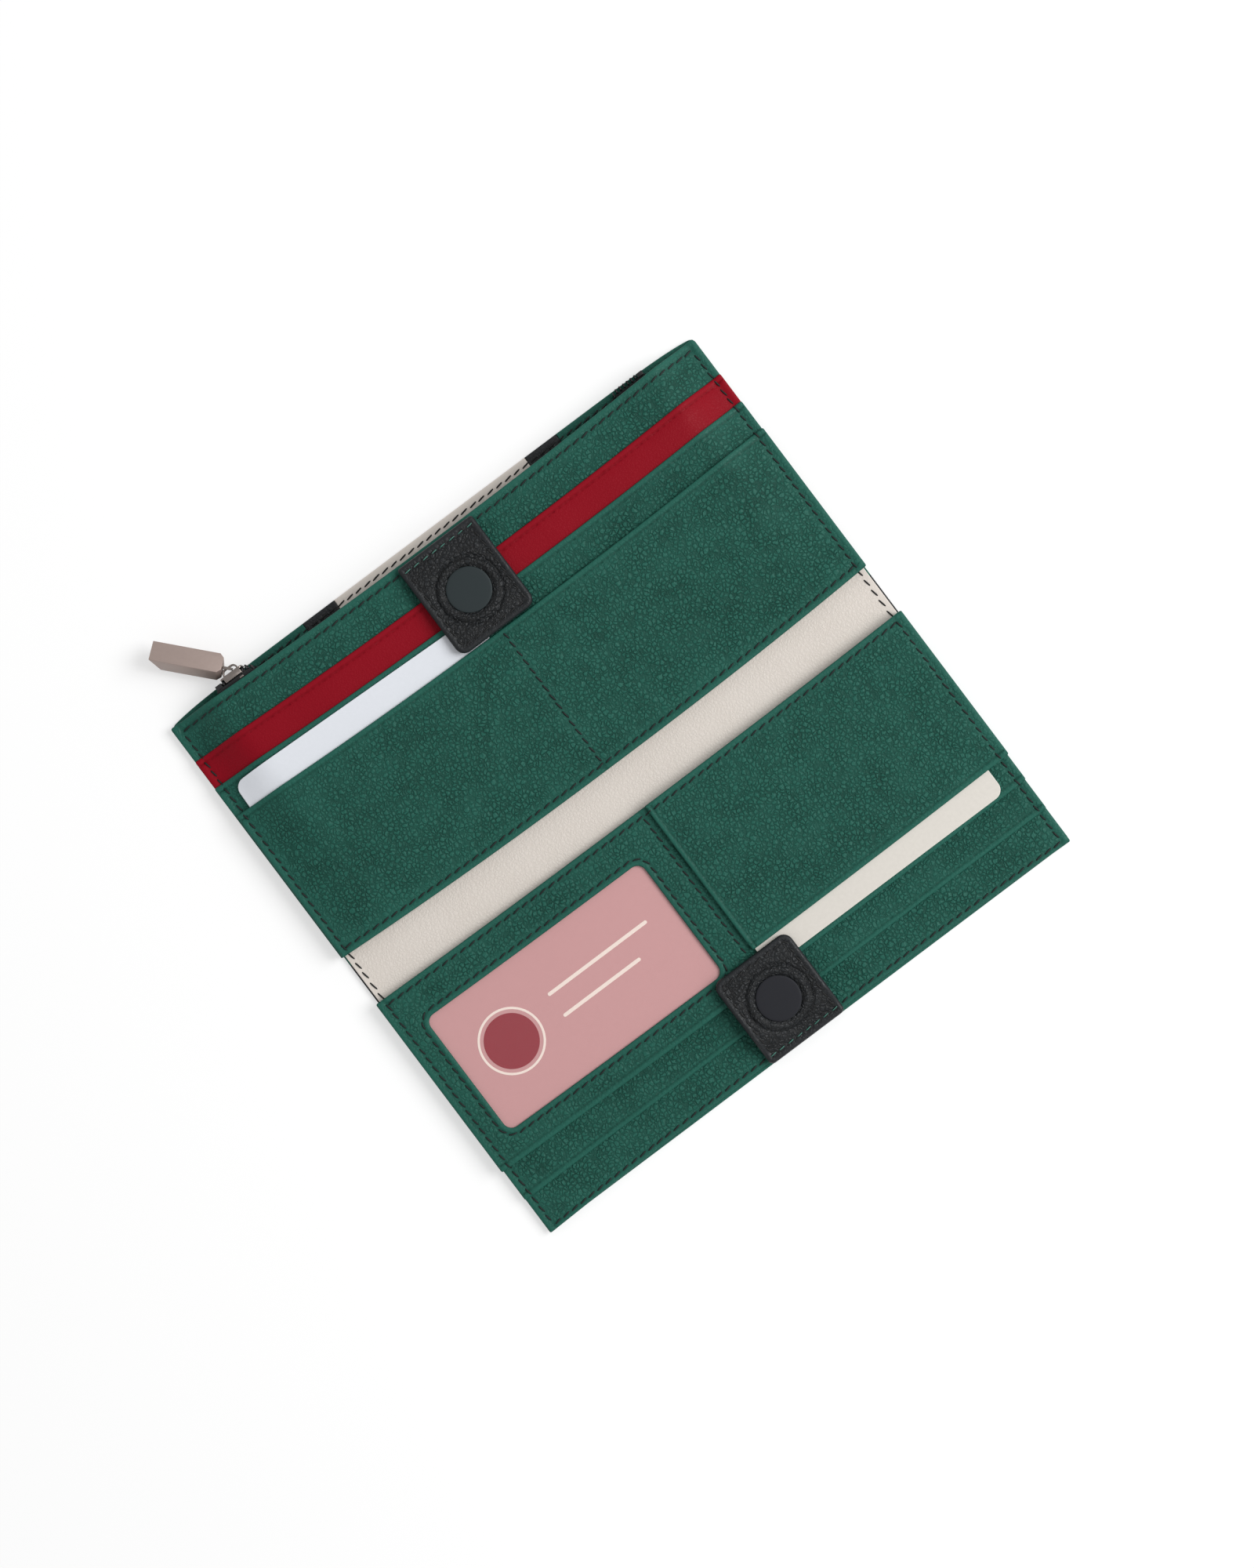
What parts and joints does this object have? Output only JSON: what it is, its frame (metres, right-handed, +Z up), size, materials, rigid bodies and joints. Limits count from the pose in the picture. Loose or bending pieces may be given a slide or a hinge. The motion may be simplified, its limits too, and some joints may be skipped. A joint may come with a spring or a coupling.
{
  "type": "leather wallet",
  "caption": "Long fold-over leather wallet lying open, with stepped card slots, an ID window, a zip coin and note pocket and magnetic closing tabs.",
  "frame": {"origin": "middle of the spine's underside, on the table the open wallet lies on", "axes": "+X along the spine, from the ID window's end to the other; +Y towards the zip mouth; +Z up out of the open wallet"},
  "size_m": [0.1906, 0.2074, 0.0132],
  "materials": {
    "green_leather": "pebbled, satin",
    "red_leather": "smooth, satin",
    "black_leather": "pebbled, satin",
    "black_smooth": "smooth, pressed",
    "cream_leather": "fine grain, satin",
    "black_cloth": "woven, matt",
    "white_card": "plain",
    "cream_card": "plain",
    "pink_card": "plain",
    "clear_film": "clear, gloss",
    "black_teeth": "satin",
    "dark_metal": "gunmetal, polished",
    "taupe_metal": "satin taupe",
    "magnet_metal": "plated"
  },
  "bodies": {
    "lower_half": {"lower_cover": "green_leather", "lower_lining": "black_cloth", "lower_base_panel": "green_leather", "lower_slot_panel": "green_leather", "window_panel": "green_leather", "window_film": "clear_film", "id_card": "pink_card", "lower_front_pocket": "green_leather", "lower_card": "cream_card", "lower_tab_back": "black_leather", "lower_tab_face": "black_leather", "lower_tab_magnet": "magnet_metal", "lower_tab_disc": "black_smooth"},
    "spine": {"spine_cover": "black_leather", "spine_lining": "cream_leather"},
    "upper_half": {"upper_cover_green_left": "green_leather", "upper_cover_black_left": "black_leather", "upper_cover_cream": "cream_leather", "upper_cover_black_right": "black_leather", "upper_cover_green_right": "green_leather", "pocket_lining_back": "black_cloth", "pocket_lining_front": "black_cloth", "upper_base_panel": "green_leather", "red_slot_panel": "red_leather", "green_slot_panel": "green_leather", "upper_front_pocket": "green_leather", "upper_card": "white_card", "upper_tab_back": "black_leather", "upper_tab_face": "black_leather", "upper_tab_magnet": "magnet_metal", "upper_tab_disc": "black_smooth", "zip_tape_back": "black_cloth", "zip_tape_front": "black_cloth", "zip_teeth_back": "black_teeth", "zip_teeth_front": "black_teeth", "zip_bottom_stop": "dark_metal", "zip_top_stop_back": "dark_metal", "zip_top_stop_front": "dark_metal"},
    "zip_slider": {"slider_body": "dark_metal", "slider_bail": "dark_metal"},
    "zip_pull": {"pull_link": "dark_metal", "pull_bar": "taupe_metal"}
  },
  "joints": [
    {"name": "fold_lower", "type": "hinge", "parent": "lower_half", "child": "spine", "pos_m": [0, -0.00805, 0.0012], "axis": [1, 0, 0], "range_deg": [0, 87]},
    {"name": "fold_upper", "type": "hinge", "parent": "spine", "child": "upper_half", "pos_m": [0, 0.0052, 0.0012], "axis": [1, 0, 0], "range_deg": [0, 87]},
    {"name": "zip_slide", "type": "slide", "parent": "upper_half", "child": "zip_slider", "axis": [1, 0, 0], "range_m": [0, 0.1424]},
    {"name": "pull_swing", "type": "hinge", "parent": "zip_slider", "child": "zip_pull", "pos_m": [-0.0707, 0.09542, 0.00507], "axis": [0, 0, 1], "range_deg": [-92, 8]}
  ]
}
